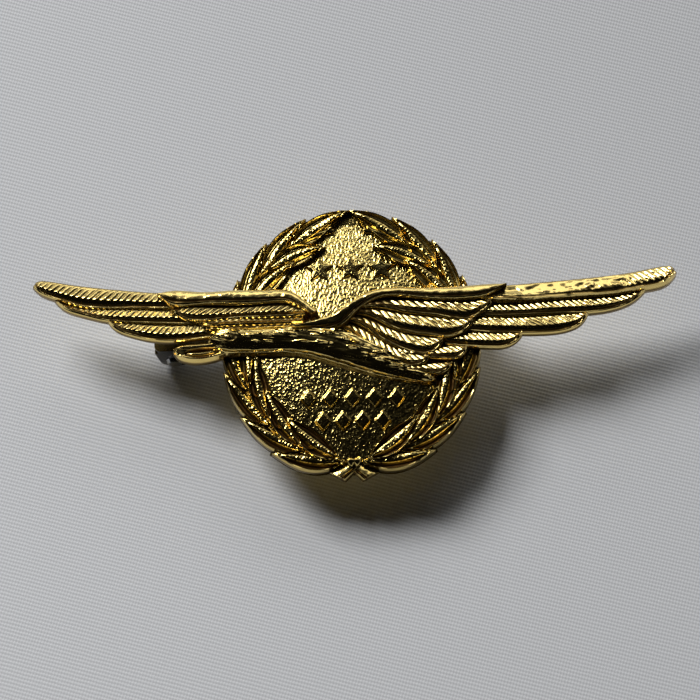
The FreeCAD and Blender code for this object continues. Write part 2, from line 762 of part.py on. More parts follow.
def export(parts):
    """Writes each sub-part to a file of its own, once all of them are sound."""
    for made in parts:
        if made.Shape.isNull() or not made.Shape.isValid():
            raise RuntimeError(f"{made.Name} has no valid shape")
    os.makedirs("parts", exist_ok=True)
    for made in parts:
        made.Shape.exportStep(f"parts/{made.Label}.step")
        box = made.Shape.BoundBox
        print(f"{made.Label}: {len(made.Shape.Solids)} solids, {made.Shape.Volume:.2f} mm3,"
              f" x {box.XMin:.2f}..{box.XMax:.2f}, y {box.YMin:.2f}..{box.YMax:.2f}, z {box.ZMin:.2f}..{box.ZMax:.2f}")


def main():
    parts = [build_plate()]
    tie, left, right = build_tie(feature("branch_whole", branch()))
    parts += [tie, left, right]
    parts += build_overlay([left, right])
    parts += [build_rivets(), build_strip(), build_bracket(), build_pivot(), build_stem()]
    parts += [build_catch(), build_sleeve(), build_seams()]
    check_all()
    export(parts)


main()
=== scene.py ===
"""The looks of a gilt wings pin: relief feathers, a carved bird, a laurel wreath and a stippled medallion.

Shapes are drawn in face coordinates, in millimetres: x to the right, y up from the medallion's centre, and
height out of the face. stand_up() turns them into the CAD frame, where the badge stands as it is worn.
"""

import math

import bmesh
import bpy
import numpy as np
from mathutils import Matrix, Vector, noise

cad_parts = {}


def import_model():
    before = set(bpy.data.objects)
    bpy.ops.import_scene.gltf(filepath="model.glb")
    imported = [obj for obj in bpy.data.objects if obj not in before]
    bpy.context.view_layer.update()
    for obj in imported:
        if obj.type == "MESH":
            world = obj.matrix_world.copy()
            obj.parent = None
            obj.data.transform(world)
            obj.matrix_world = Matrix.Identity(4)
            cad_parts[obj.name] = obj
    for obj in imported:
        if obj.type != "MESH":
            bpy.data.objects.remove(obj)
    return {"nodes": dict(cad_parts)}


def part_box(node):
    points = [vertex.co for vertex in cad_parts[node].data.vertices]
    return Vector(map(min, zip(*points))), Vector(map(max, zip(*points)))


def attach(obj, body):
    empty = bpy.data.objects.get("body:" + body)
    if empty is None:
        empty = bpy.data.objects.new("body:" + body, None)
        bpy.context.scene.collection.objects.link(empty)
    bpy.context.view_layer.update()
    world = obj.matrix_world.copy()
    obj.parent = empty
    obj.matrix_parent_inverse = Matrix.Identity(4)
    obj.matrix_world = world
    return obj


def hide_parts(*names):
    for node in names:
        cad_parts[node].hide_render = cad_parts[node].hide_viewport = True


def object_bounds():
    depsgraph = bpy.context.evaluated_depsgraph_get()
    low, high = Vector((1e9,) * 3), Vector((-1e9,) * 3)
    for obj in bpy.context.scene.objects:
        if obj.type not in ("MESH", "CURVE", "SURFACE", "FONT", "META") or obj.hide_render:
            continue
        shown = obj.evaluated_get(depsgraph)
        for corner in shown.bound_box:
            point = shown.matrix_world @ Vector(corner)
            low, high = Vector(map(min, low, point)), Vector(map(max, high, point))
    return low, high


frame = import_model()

MM = 0.001
CAD_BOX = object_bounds()

# The wreath's half axes, and how far the CAD plate reaches below the medallion's centre.
HALF_TALL = 13.9
HALF_WIDE = 12.55
PLATE_REACH = 13.65

# Levels of the face, as heights above the needle's line, and the centre's height, from the CAD pieces.
PLATE_BACK = -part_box("medallion_plate")[1].y / MM
FIELD = -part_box("laurel_branch_left")[1].y / MM
WING = -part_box("near_wing")[1].y / MM
CENTRE_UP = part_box("medallion_plate")[0].z / MM + PLATE_REACH

# Solids of a relief: the spacing of their points, their walls' lean and the painted shade on their walls,
# and their undersides, which are bevelled, and stepped so that no two feathers of a wing share a level.
STEP = 0.085
DRAFT = 0.07
EAVES_DROP = 0.22
EAVES_SHADE = 0.85
WALL_SHADE = 0.75
UNDER_BEVEL = 0.05
UNDER_STEP = 0.006
UNDER_LEVELS = 12


def stand_up(points):
    """Face coordinates, in millimetres, to the CAD frame, in metres."""
    points = np.asarray(points, float)
    return np.stack([points[..., 0], -points[..., 2], points[..., 1] + CENTRE_UP], axis=-1) * MM


def smooth(points, count):
    """A natural cubic curve through the points, sampled evenly along it."""
    spots = np.array(points, float)
    total = len(spots)
    knots = np.r_[0, np.cumsum(np.linalg.norm(np.diff(spots, axis=0), axis=1))]
    system, right = np.eye(total), np.zeros_like(spots)
    for n in range(1, total - 1):
        before, after = knots[n] - knots[n - 1], knots[n + 1] - knots[n]
        system[n, n - 1 : n + 2] = before, 2 * (before + after), after
        right[n] = 6 * ((spots[n + 1] - spots[n]) / after - (spots[n] - spots[n - 1]) / before)
    bend = np.linalg.solve(system, right)
    at = np.linspace(0, knots[-1], count)
    n = np.clip(np.searchsorted(knots, at, side="right") - 1, 0, total - 2)
    span = (knots[n + 1] - knots[n])[:, None]
    a = (knots[n + 1] - at)[:, None] / span
    b = 1 - a
    curved = ((a**3 - a) * bend[n] + (b**3 - b) * bend[n + 1]) * span**2 / 6
    return a * spots[n] + b * spots[n + 1] + curved


def length_of(path):
    """The length of a path of flat points."""
    return float(np.linalg.norm(np.diff(path, axis=0), axis=1).sum())


def nearest(points, path):
    """The distance from each point to a path of many points."""
    flat = points.reshape(-1, 2)
    best = np.full(len(flat), np.inf)
    batch = 64
    for start in range(0, len(path), batch):
        gap = flat[:, None, :] - path[None, start : start + batch, :]
        best = np.minimum(best, np.sqrt((gap**2).sum(axis=2)).min(axis=1))
    return best.reshape(points.shape[:-1])


def ease(low, high, value):
    """0 below low, 1 above high, and a smooth ramp between."""
    t = np.clip((value - low) / (high - low), 0, 1)
    return t * t * (3 - 2 * t)


def bump(middle, half, value):
    """A rounded ridge of height 1 about a middle."""
    t = np.clip(1 - ((value - middle) / half) ** 2, 0, 1)
    return t * t * (3 - 2 * t)


def rough(flat, scale, seed, stretch=(1.0, 1.0)):
    """Smooth noise from -1 to 1 over an array of x, y points."""
    spots = flat.reshape(-1, 2) * scale * np.array(stretch)
    values = [noise.noise(Vector((x, y, seed))) for x, y in spots]
    return np.array(values).reshape(flat.shape[:-1])


def outward(loop):
    """The outward direction at each point of a closed flat loop."""
    along = np.roll(loop, -2, axis=0) - np.roll(loop, 2, axis=0)
    across = np.stack([along[:, 1], -along[:, 0]], axis=1)
    size = np.linalg.norm(across, axis=1, keepdims=True)
    across = across / np.maximum(size, 1e-6)
    area = np.sum(loop[:, 0] * np.roll(loop[:, 1], -1) - np.roll(loop[:, 0], -1) * loop[:, 1])
    return across if area > 0 else -across


def grid_faces(rows, cols):
    """Quads over a grid of points, and the loop of points around its edge."""
    index = np.arange(rows * cols).reshape(rows, cols)
    faces = []
    for r in range(rows - 1):
        for c in range(cols - 1):
            faces.append([index[r, c], index[r + 1, c], index[r + 1, c + 1], index[r, c + 1]])
    loop = np.r_[index[0, :], index[1:, -1], index[-1, -2::-1], index[-2:0:-1, 0]]
    return faces, loop


def band_faces(upper, lower):
    """Quads between two closed loops with as many points each."""
    faces = []
    for n in range(len(upper)):
        after = (n + 1) % len(upper)
        faces.append([upper[n], upper[after], lower[after], lower[n]])
    return faces


def underside_faces(first, rows, cols):
    """Faces across a grid's edge loop, numbered from first, from each point to the one opposite."""
    right = first + cols - 1
    left = first + 2 * (rows + cols) - 4
    last = rows - 2
    faces = [[first + n for n in range(cols)] + [right + 1, left - 1]]
    for n in range(1, last):
        faces.append([right + n, right + n + 1, left - n - 1, left - n])
    faces.append([right + last + n for n in range(cols + 1)] + [left - last])
    return faces


class Relief:
    """Gathers the closed solids of one piece, and how much each of their points is darkened: patina in
    hollows and painted shade.
    """

    def __init__(self):
        self.points = []
        self.patina_and_shade = []
        self.faces = []
        self.count = 0
        self.solids = 0

    def add(self, points, faces, patina_and_shade):
        """Adds a solid's points and faces, whose numbers start from 0."""
        self.points.append(points)
        self.patina_and_shade.append(patina_and_shade)
        self.faces += [[self.count + n for n in face] for face in faces]
        self.count += len(points)

    def grid(self, top, patina_and_shade, low, draft=DRAFT, shade=1.0):
        """A closed solid under a grid of points, with walls that lean out and a bevelled underside."""
        rows, cols = top.shape[:2]
        faces, loop = grid_faces(rows, cols)
        around = len(loop)
        low = low + UNDER_STEP * (self.solids % UNDER_LEVELS)
        self.solids += 1
        points = top.reshape(-1, 3)
        edge = points[loop]
        out = outward(edge[:, :2])
        foot = edge.copy()
        foot[:, :2] += out * draft
        foot[:, 2] = low + UNDER_BEVEL
        under = foot.copy()
        under[:, :2] -= out * UNDER_BEVEL * 0.6
        under[:, 2] = low
        eaves = edge * 0.5 + foot * 0.5
        eaves[:, :2] += out * draft * 0.35
        eaves[:, 2] = edge[:, 2] - np.minimum(EAVES_DROP, (edge[:, 2] - low) * 0.4)
        loops = [loop] + [rows * cols + n * around + np.arange(around) for n in range(3)]
        for upper, lower in zip(loops, loops[1:]):
            faces += band_faces(upper, lower)
        faces += underside_faces(loops[-1][0], rows, cols)
        # Painted shade: the eaves and walls are painted darker by EAVES_SHADE and WALL_SHADE times shade;
        # the underside is not darkened.
        walls = [np.full(around, EAVES_SHADE * shade), np.full(around, WALL_SHADE * shade), np.zeros(around)]
        whole = np.concatenate([points, eaves, foot, under])
        self.add(whole, faces, np.concatenate([patina_and_shade.reshape(-1), *walls]))

    def build(self, name, material, replaced, angle=38.0):
        """Makes the object, which rides on the badge and stands for its CAD node."""
        mesh = bpy.data.meshes.new(name)
        mesh.from_pydata(stand_up(np.concatenate(self.points)).tolist(), [], self.faces)
        # The darkening that the material reads: patina in hollows, and painted shade on walls, edges and
        # shaded sides.
        layer = mesh.attributes.new("patina_and_shade", "FLOAT", "POINT")
        layer.data.foreach_set("value", np.concatenate(self.patina_and_shade).astype(np.float32))
        work = bmesh.new()
        work.from_mesh(mesh)
        bmesh.ops.remove_doubles(work, verts=work.verts, dist=1e-7)
        bmesh.ops.dissolve_degenerate(work, edges=work.edges, dist=1e-7)
        bmesh.ops.recalc_face_normals(work, faces=work.faces)
        work.to_mesh(mesh)
        work.free()
        mesh.shade_smooth()
        mesh.set_sharp_from_angle(angle=math.radians(angle))
        mesh.materials.append(material)
        made = bpy.data.objects.new(name, mesh)
        bpy.context.scene.collection.objects.link(made)
        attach(made, "badge")
        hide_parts(replaced)


# Feathers: the barbs' lean, depths, and pitch over depth, where the vane's crest and the end of its fall lie
# from the upper edge to the lower one, the crest's rise, and how far in the long feather's rim lies.
BARB_LEAN = 0.95
FINE_BARB = 0.11
COARSE_BARB = 0.145
BARB_PITCH = 5.4
CREST = 0.6
CREST_RISE = 0.3
FALL_END = 0.93
RIM_IN = 0.17
SEED_STEP = 1.7


def between(upper, lower, cols):
    """A grid of flat points between two edges that run from root to tip, how far along each point is,
    and its distances from the lower and the upper edge."""
    rows = max(int(max(length_of(smooth(upper, 60)), length_of(smooth(lower, 60))) / STEP), 12)
    high, low = smooth(upper, rows), smooth(lower, rows)
    share = np.linspace(0, 1, cols)[None, :, None]
    flat = high[:, None, :] * (1 - share) + low[:, None, :] * share
    steps = np.linalg.norm(np.diff((high + low) / 2, axis=0), axis=1)
    along = np.r_[0, np.cumsum(steps)][:, None] + np.zeros((1, cols))
    return flat, along, nearest(flat, low), nearest(flat, high)


def feather(relief, upper, lower, height, barb, seed):
    """One feather: slanting barbs that rise to a crest, a smooth fall below it and a thin lower rim."""
    flat, along, to_low, to_high = between(upper, lower, 30)
    down = to_high / np.maximum(to_low + to_high, 0.2)
    rise = CREST_RISE * np.clip(down / CREST, 0, 1) * (down < CREST)
    fall = CREST_RISE * (1 - ease(0.0, 1.0, (down - CREST) / (FALL_END - CREST))) * (down >= CREST)
    tip = ease(0.0, 0.5, np.minimum(to_low, to_high) + 0.2)
    phase = (along - BARB_LEAN * to_high) / (BARB_PITCH * barb) + 0.25 * rough(flat, 0.8, seed)
    ridge = np.abs(np.sin(math.pi * phase)) ** 0.8
    depth = barb * (0.85 + 0.6 * rough(flat, 1.7, seed + 8.0))
    mask = ease(0.06, 0.2, down) * (1 - ease(CREST, CREST + 0.14, down))
    rim = 0.12 * bump(0.1, 0.12, to_low)
    wave = 0.03 * rough(flat, 0.9, seed + 3.1)
    edge = -0.12 * (1 - ease(0.0, 0.12, to_high))
    vane = height - 0.12 + (rise + fall) * tip + depth * mask * (ridge - 0.4)
    # Painted shade: groove is no cut in the surface but a dark band painted just above the lower rim. The
    # upper edge is painted dark where it tucks under the feather above, and the barbs' hollows are painted
    # darker.
    groove = 0.9 * bump(0.3, 0.16, to_low)
    top_edge_shade = 0.8 * (1 - ease(0.05, 0.2, to_high))
    patina_and_shade = np.maximum(np.maximum(mask * (1 - ridge) ** 2, groove), top_edge_shade)
    relief.grid(np.dstack([flat, vane + rim + wave + edge]), np.clip(patina_and_shade, 0, 1), WING)


def smooth_feather(relief, upper, lower, height, seed):
    """The long top feather: a worn, dented vane that slopes up to its lower rim, with barbs by its tip."""
    flat, along, to_low, to_high = between(upper, lower, 26)
    up = np.clip(to_low / np.maximum(to_low + to_high, 0.2), 0, 1)
    down = 1 - up
    slope = 0.44 * np.clip(down / 0.8, 0, 1) - 0.42 * ease(0.8, 0.98, down)
    ridge = np.abs(np.sin(math.pi * (along - BARB_LEAN * to_high) / (BARB_PITCH * FINE_BARB)))
    by_tip = ease(13.5, 16.5, along)
    faint = 0.04 * bump(0.42, 0.22, up) * ease(5.0, 12.0, along)
    strong = 0.12 * bump(0.6, 0.4, up) * by_tip
    barb = ridge * (faint + strong) * ease(0.1, 0.3, to_high)
    dents = 0.16 * rough(flat, 0.75, seed, (0.6, 1.3))
    dents = dents + 0.1 * rough(flat, 1.9, seed + 2.0, (0.7, 1.2))
    wave = dents * ease(0.0, 0.25, up) * (1 - ease(0.8, 1.0, up)) * (1 - 0.6 * by_tip)
    rim = 0.14 * bump(RIM_IN, RIM_IN * 1.15, to_low)
    groove = bump(0.4, 0.14, to_low)
    edge = -0.12 * (1 - ease(0.0, 0.09, to_low)) - 0.24 * (1 - ease(0.0, 0.2, to_high))
    top = np.dstack([flat, height + slope + barb + wave + rim - 0.1 * groove + edge])
    # The groove by the lower rim is darkened (patina and painted shade), and the upper edge is painted dark
    # as shade.
    patina_and_shade = np.maximum(0.8 * bump(0.4, 0.16, to_low), 0.9 * (1 - ease(0.03, 0.16, to_high)))
    relief.grid(top, patina_and_shade, WING)


def rounded(relief, upper, lower, height, crown, low, seed, groove=0.0, root_peak=0.4):
    """A smooth rounded strip. Its top line lies 0.4 of the way from its lower edge to its upper one, and
    root_peak of the way at its root."""
    flat, along, to_low, to_high = between(upper, lower, 22)
    share = to_low / np.maximum(to_low + to_high, 1e-3)
    peak = 0.4 + (root_peak - 0.4) * (1 - ease(5.0, 9.5, along))
    side = np.where(share < peak, share / peak, (1 - share) / (1 - peak))
    arch = np.sqrt(np.clip(1 - (1 - side) ** 2, 0, 1))
    wave = 0.07 * rough(flat, 0.45, seed) + 0.05 * rough(flat, 1.3, seed + 5)
    scratch = 0.025 * rough(flat, 3.4, seed + 9.0, (0.6, 1.0))
    line = -groove * bump(0.26, 0.1, share)
    # Painted shade: a dark line along the groove, and the strip's sides painted darker where its arch falls
    # away.
    dark_line = bump(0.26, 0.12, share) * (groove > 0)
    top = np.dstack([flat, height + (crown + wave + scratch) * arch + line])
    relief.grid(top, np.clip(dark_line + 0.8 * (1 - ease(0, 0.14, arch)), 0, 1), low)


# Each feather's upper and lower edges, from the root to the tip, and its height above WING.
FAR_FEATHERS = [
    (
        [(-14.0, 2.1), (-17.0, 2.1), (-20.3, 2.3), (-23.4, 2.55)],
        [
            (-12.5, 0.75), (-14.5, 0.5), (-17.0, 0.3), (-19.3, 0.5),
            (-21.3, 1.05), (-22.7, 1.75), (-23.4, 2.55),
        ],
        0.72,
    ),
    (
        [(-13.0, 3.7), (-17.2, 3.6), (-22.2, 3.75), (-26.2, 4.05), (-28.5, 4.75)],
        [
            (-12.0, 2.1), (-16.0, 2.0), (-20.3, 2.2), (-23.5, 2.5),
            (-25.9, 3.15), (-27.6, 3.85), (-28.5, 4.75),
        ],
        0.86,
    ),
    (
        [
            (-14.5, 5.1), (-18.2, 5.25), (-23.4, 5.8), (-27.4, 6.4),
            (-29.3, 6.75), (-30.3, 6.65), (-30.6, 6.15),
        ],
        [
            (-13.5, 3.7), (-17.2, 3.6), (-22.2, 3.7), (-26.4, 4.1),
            (-28.5, 4.85), (-30.0, 5.55), (-30.6, 6.15),
        ],
        1.0,
    ),
    (
        [(-4.6, 1.9), (-8.5, 1.75), (-12.0, 1.7), (-14.3, 1.3)],
        [(-4.6, 1.2), (-8.5, 1.2), (-12.0, 1.1), (-14.3, 1.3)],
        0.98,
    ),
    (
        [(-4.6, 2.5), (-8.7, 2.45), (-12.3, 2.45), (-14.6, 2.05)],
        [(-4.6, 1.7), (-8.7, 1.65), (-12.3, 1.6), (-14.0, 1.72), (-14.6, 2.05)],
        1.1,
    ),
    (
        [(-4.4, 3.4), (-6.0, 3.7), (-9.3, 3.65), (-14.5, 3.7), (-16.6, 3.6), (-17.3, 3.3)],
        [
            (-4.4, 2.5), (-5.9, 2.4), (-10.2, 2.35), (-13.0, 2.2),
            (-14.8, 2.15), (-16.3, 2.55), (-17.3, 3.3),
        ],
        1.22,
    ),
]
FAR_LEADING_EDGE = (
    [
        (-3.2, 2.9), (-4.5, 4.1), (-5.7, 4.95), (-8.0, 5.15),
        (-11.0, 5.2), (-14.5, 5.1), (-17.4, 5.25), (-18.5, 4.95),
    ],
    [
        (-3.8, 2.4), (-4.7, 3.1), (-5.9, 3.7), (-8.0, 3.75),
        (-11.0, 3.65), (-14.5, 3.7), (-17.2, 3.75), (-18.5, 4.75),
    ],
)

NEAR_FINE_FEATHERS = [
    (
        [(9.0, 0.9), (12.1, 0.7), (14.5, 0.6), (16.6, 0.6)],
        [(9.0, -0.6), (11.0, -0.85), (13.1, -1.0), (14.7, -0.95), (15.9, -0.35), (16.6, 0.6)],
        0.62,
    ),
    (
        [(10.0, 2.3), (13.2, 2.2), (17.0, 2.15), (20.1, 2.3), (22.9, 2.4)],
        [(10.0, 0.9), (12.1, 0.6), (16.3, 0.3), (19.0, 0.3), (20.9, 0.6), (22.2, 1.3), (22.9, 2.4)],
        0.74,
    ),
    (
        [(11.0, 3.6), (16.4, 3.45), (20.2, 3.7), (23.8, 3.85), (26.5, 4.15), (28.6, 4.6)],
        [(11.0, 2.2), (15.6, 2.05), (20.1, 2.2), (23.2, 2.25), (25.8, 2.7), (27.4, 3.45), (28.6, 4.6)],
        0.88,
    ),
    (
        [(3.5, -2.2), (6.0, -2.55), (8.0, -2.4), (9.7, -2.4)],
        [(3.5, -3.3), (5.2, -3.4), (7.0, -3.45), (8.2, -3.6), (9.2, -3.15), (9.7, -2.4)],
        0.72,
    ),
    (
        [(4.5, -0.6), (7.5, -1.0), (9.3, -0.7), (11.15, -0.85)],
        [(4.5, -1.8), (7.3, -2.0), (8.6, -2.1), (9.7, -2.15), (10.7, -1.7), (11.15, -0.85)],
        0.8,
    ),
]
NEAR_COARSE_FEATHERS = [
    (
        [(-0.7, 2.1), (0.6, 1.4), (2.3, 0.4), (4.4, -0.95), (6.2, -1.5), (7.7, -1.55)],
        [
            (-0.9, 1.2), (0.2, 0.5), (1.6, -1.0), (3.4, -2.1),
            (4.8, -2.7), (6.1, -2.8), (7.1, -2.4), (7.7, -1.55),
        ],
        0.92,
    ),
    (
        [(-0.3, 2.6), (1.1, 2.3), (3.5, 1.2), (6.2, 0.3), (7.7, 0.1), (9.0, 0.0)],
        [
            (-0.6, 1.9), (0.6, 1.6), (2.2, 0.5), (4.3, -0.85),
            (5.8, -1.45), (7.3, -1.65), (8.3, -1.1), (9.0, 0.0),
        ],
        1.06,
    ),
    (
        [(0.4, 3.2), (2.8, 3.0), (5.3, 2.5), (8.5, 2.1), (10.2, 1.9), (12.0, 2.1)],
        [
            (0.2, 2.5), (1.4, 2.4), (3.5, 1.3), (6.2, 0.4), (7.6, 0.2),
            (9.0, 0.0), (10.4, 0.3), (11.3, 0.9), (12.0, 2.1),
        ],
        1.18,
    ),
    (
        [(1.4, 3.7), (3.0, 3.9), (6.3, 3.85), (9.5, 3.7), (11.6, 3.65), (13.9, 3.9)],
        [
            (1.2, 3.1), (2.8, 3.1), (5.3, 2.55), (8.5, 2.1), (10.0, 1.75),
            (11.4, 1.75), (12.6, 2.4), (13.4, 3.1), (13.9, 3.9),
        ],
        1.3,
    ),
]
NEAR_TOP_FEATHER = (
    [
        (12.0, 5.1), (14.1, 5.2), (18.1, 5.45), (23.8, 5.9),
        (27.8, 6.4), (30.2, 6.85), (31.2, 6.75), (31.5, 6.0),
    ],
    [
        (12.0, 3.7), (16.4, 3.4), (20.2, 3.65), (23.8, 3.8),
        (26.6, 4.1), (28.6, 4.45), (30.7, 5.1), (31.5, 6.0),
    ],
)
NEAR_LEADING_EDGE = (
    [
        (-5.6, 1.25), (-3.2, 1.9), (-1.6, 2.5), (-0.2, 3.5), (1.2, 4.45),
        (2.4, 4.9), (5.4, 5.05), (11.5, 5.1), (13.6, 5.2), (15.0, 5.12),
    ],
    [
        (-5.6, 1.0), (-3.2, 0.85), (-1.0, 1.15), (0.7, 2.75), (1.6, 3.4),
        (2.6, 3.9), (6.3, 3.9), (11.5, 3.65), (13.2, 3.95), (15.0, 5.02),
    ],
)


def far_wing(material):
    """The wing behind the bird's body: its feathers and its leading edge."""
    relief = Relief()
    for n, (upper, lower, height) in enumerate(FAR_FEATHERS):
        feather(relief, upper, lower, WING + height, FINE_BARB, n * SEED_STEP)
    rounded(relief, *FAR_LEADING_EDGE, WING + 1.15, 0.6, WING, 2.3, groove=0.07)
    relief.build("far_wing_relief", material, "far_wing")


def near_wing(material):
    """The wing over the bird's body: fine and coarse feathers, the long top one and the leading edge."""
    relief = Relief()
    fine = [(FINE_BARB, *shape) for shape in NEAR_FINE_FEATHERS]
    coarse = [(COARSE_BARB, *shape) for shape in NEAR_COARSE_FEATHERS]
    for n, (barb, upper, lower, height) in enumerate(fine + coarse):
        feather(relief, upper, lower, WING + height, barb, 20 + n * SEED_STEP)
    smooth_feather(relief, *NEAR_TOP_FEATHER, WING + 1.02, 4.6)
    rounded(relief, *NEAR_LEADING_EDGE, WING + 1.25, 0.65, WING, 8.3, groove=0.07, root_peak=0.78)
    relief.build("near_wing_relief", material, "near_wing")


# The bird from head to tail: x, the middle y and half height of its outline, and its crest above FIELD.
BODY = [
    (-13.75, 0.1, 0.12, 1.35),
    (-13.55, 0.15, 0.62, 1.75),
    (-13.0, 0.2, 0.95, 2.15),
    (-12.0, 0.15, 1.22, 2.45),
    (-10.7, 0.08, 1.22, 2.4),
    (-9.2, 0.05, 1.2, 2.35),
    (-7.0, 0.05, 1.25, 2.45),
    (-4.5, 0.0, 1.5, 2.6),
    (-2.0, -0.45, 1.85, 2.6),
    (0.5, -1.3, 1.8, 2.45),
    (2.5, -2.1, 1.6, 2.2),
    (4.6, -2.95, 1.15, 1.9),
    (6.3, -3.6, 0.72, 1.6),
    (7.5, -3.95, 0.35, 1.4),
    (7.9, -4.05, 0.1, 1.25),
]
BODY_LONG = 24
BODY_CROWN = 0.42
EYE_X, EYE_Y = -11.7, 0.3


def bird_trunk(relief):
    """Head, neck, body and tail, with long carved lines."""
    stations = smooth(BODY, int(BODY_LONG / STEP))
    side = np.linspace(-1, 1, 56)[None, :]
    x = stations[:, 0:1] + np.zeros_like(side)
    y = stations[:, 1:2] + stations[:, 2:3] * side
    above = np.clip(1 - ((side - BODY_CROWN) / (1 - BODY_CROWN)) ** 2, 0, 1) ** 0.5
    below = np.clip(1 - np.abs((BODY_CROWN - side) / (1 + BODY_CROWN)) ** 1.7, 0, 1) ** 0.75
    arch = np.where(side > BODY_CROWN, above, below)
    crest = np.clip(stations[:, 3:4], 0.5, None)
    streak = rough(np.dstack([x + 0.4 * y, y + 0.22 * x]), 1.0, 4.4, (0.42, 1.9))
    fine = rough(np.dstack([x, y + 0.22 * x]), 1.0, 9.9, (0.8, 4.2))
    flecks = np.clip(rough(np.dstack([x, y + 0.16 * x]), 1.0, 6.6, (0.9, 4.6)) - 0.05, 0, 1)
    tail = ease(-3.0, 4.0, x)
    carve = (0.06 + 0.1 * tail) * streak + (0.04 + 0.05 * tail) * fine
    carve = carve + 0.34 * flecks * ease(-0.5, 0.1, side) + 0.08 * flecks
    wobble = 0.05 * rough(np.dstack([x, 0 * x]), 0.7, 2.2)
    neck_line = 0.1 * bump(0.62 + wobble, 0.12, side)
    lips = 0.09 * bump(0.86 + wobble, 0.1, side) + 0.12 * bump(-0.9 + wobble, 0.07, side)
    lips = lips - 0.12 * bump(-0.79 + wobble, 0.06, side)
    socket = np.hypot((x - EYE_X) / 1.9, y - EYE_Y)
    eye = 0.03 * bump(0.0, 0.2, socket) - 0.05 * bump(0.28, 0.12, socket)
    height = FIELD + crest * (0.55 + 0.45 * arch) + (carve - neck_line) * arch + lips + eye
    # The carved lines' hollows and the ring round the eye are painted darker: patina and painted shade.
    patina_and_shade = np.clip(-4 * carve, 0, 1) + 0.7 * bump(0.3, 0.12, socket)
    relief.grid(np.dstack([x, y, height]), np.clip(patina_and_shade, 0, 1), FIELD, draft=0.16)


def beak(relief):
    """A hooked beak with a straight upper edge, a lens-shaped slot and a broad lower lip."""
    upper = [(-11.9, 0.35), (-13.6, 0.12), (-15.2, 0.02), (-16.4, -0.12), (-16.95, -0.4), (-17.05, -0.75)]
    lower = [(-11.4, -1.0), (-12.6, -1.38), (-14.2, -1.72), (-15.7, -1.66), (-16.7, -1.2), (-17.05, -0.75)]
    flat, _, to_low, to_high = between(upper, lower, 34)
    share = to_high / np.maximum(to_low + to_high, 1e-3)
    rows = np.linspace(0, 1, len(flat))[:, None]
    lens = 0.2 * np.sin(math.pi * np.clip((rows - 0.16) / 0.62, 0, 1)) ** 0.8
    slot = 1 - ease(0.0, 0.09, np.abs(share - 0.55 - 0.04 * rows) - lens)
    slot = slot * (lens > 0.02)
    tongue = bump(0.0, 0.1, share - 0.56 - 0.04 * rows) * ease(0.06, 0.16, lens)
    ridge = 0.16 * bump(0.22, 0.2, share) + 0.1 * bump(0.86, 0.14, share)
    round_off = -0.3 * (1 - ease(0.0, 0.28, np.minimum(to_low, to_high)))
    height = FIELD + 1.6 - 0.2 * share + ridge - 0.26 * slot + 0.16 * tongue + round_off
    # Painted shade: the slot is painted dark with its tongue left lighter, and a dark line runs along the
    # upper ridge's lower side.
    patina_and_shade = np.clip(slot - 1.2 * tongue + 0.5 * bump(0.36, 0.1, share), 0, 1)
    relief.grid(np.dstack([flat, height]), patina_and_shade, FIELD + 0.3)


def bird(material):
    """The flying bird."""
    relief = Relief()
    bird_trunk(relief)
    beak(relief)
    relief.build("bird_relief", material, "bird_body", angle=45)


# Leaves: turns are degrees from the tie, shares are of the wreath's half axes, and lengths are in mm.
LEAF_STEP = 20.35
LEAF_FROM = 4.0
LEAF_TO = 180.6
LEAF_LONG = 7.6
LEAF_BARB = 0.32
STEM_SHARE = 0.86
STEM_HALF = 0.026

# A kind of leaf: how many there are, where the first starts, how far each runs, the share that it ends at,
# its width, its height above the lowest leaves, and how late it bends away from the stem.
OUTER_LEAF = {
    "count": 8,
    "start": 2.6,
    "turn": 35.6,
    "share": 1.0,
    "wide": 2.15,
    "lift": 0.0,
    "bend": 1.9,
}
INNER_LEAF = {
    "count": 7,
    "start": 6.5,
    "turn": 37.0,
    "share": 0.735,
    "wide": 2.15,
    "lift": 0.32,
    "bend": 0.62,
}


def rim_point(turn, share):
    """A point at an angle from the tie, going up the left side, at a share of the wreath's half axes."""
    angle = np.radians(turn)
    return np.stack([-HALF_WIDE * share * np.sin(angle), -HALF_TALL * share * np.cos(angle)], axis=-1)


def every_leaf():
    """The kind and number of each leaf of one branch."""
    return [(kind, n) for kind in (OUTER_LEAF, INNER_LEAF) for n in range(kind["count"])]


def leaf_half(kind, along):
    """Half the width of a leaf along its length: widest near its root, with a sharp tip."""
    return kind["wide"] / 2 * np.sin(math.pi * along**0.9) ** 1.05


def leaf_grid(kind, n, rows=72, cols=30):
    """The flat points of one leaf, and each point's share along and across it."""
    start = max(kind["start"] + n * LEAF_STEP, LEAF_FROM)
    turn = min(kind["start"] + kind["turn"] + n * LEAF_STEP, LEAF_TO) - start
    along = np.linspace(0, 1, rows)[:, None] + np.zeros((1, cols))
    across = np.linspace(-1, 1, cols)[None, :] + np.zeros((rows, 1))
    middle = STEM_SHARE + (kind["share"] - STEM_SHARE) * along ** kind["bend"]
    share = np.minimum(middle + leaf_half(kind, along) / HALF_WIDE * across, 1.0)
    return rim_point(start + turn * along, share), along, across


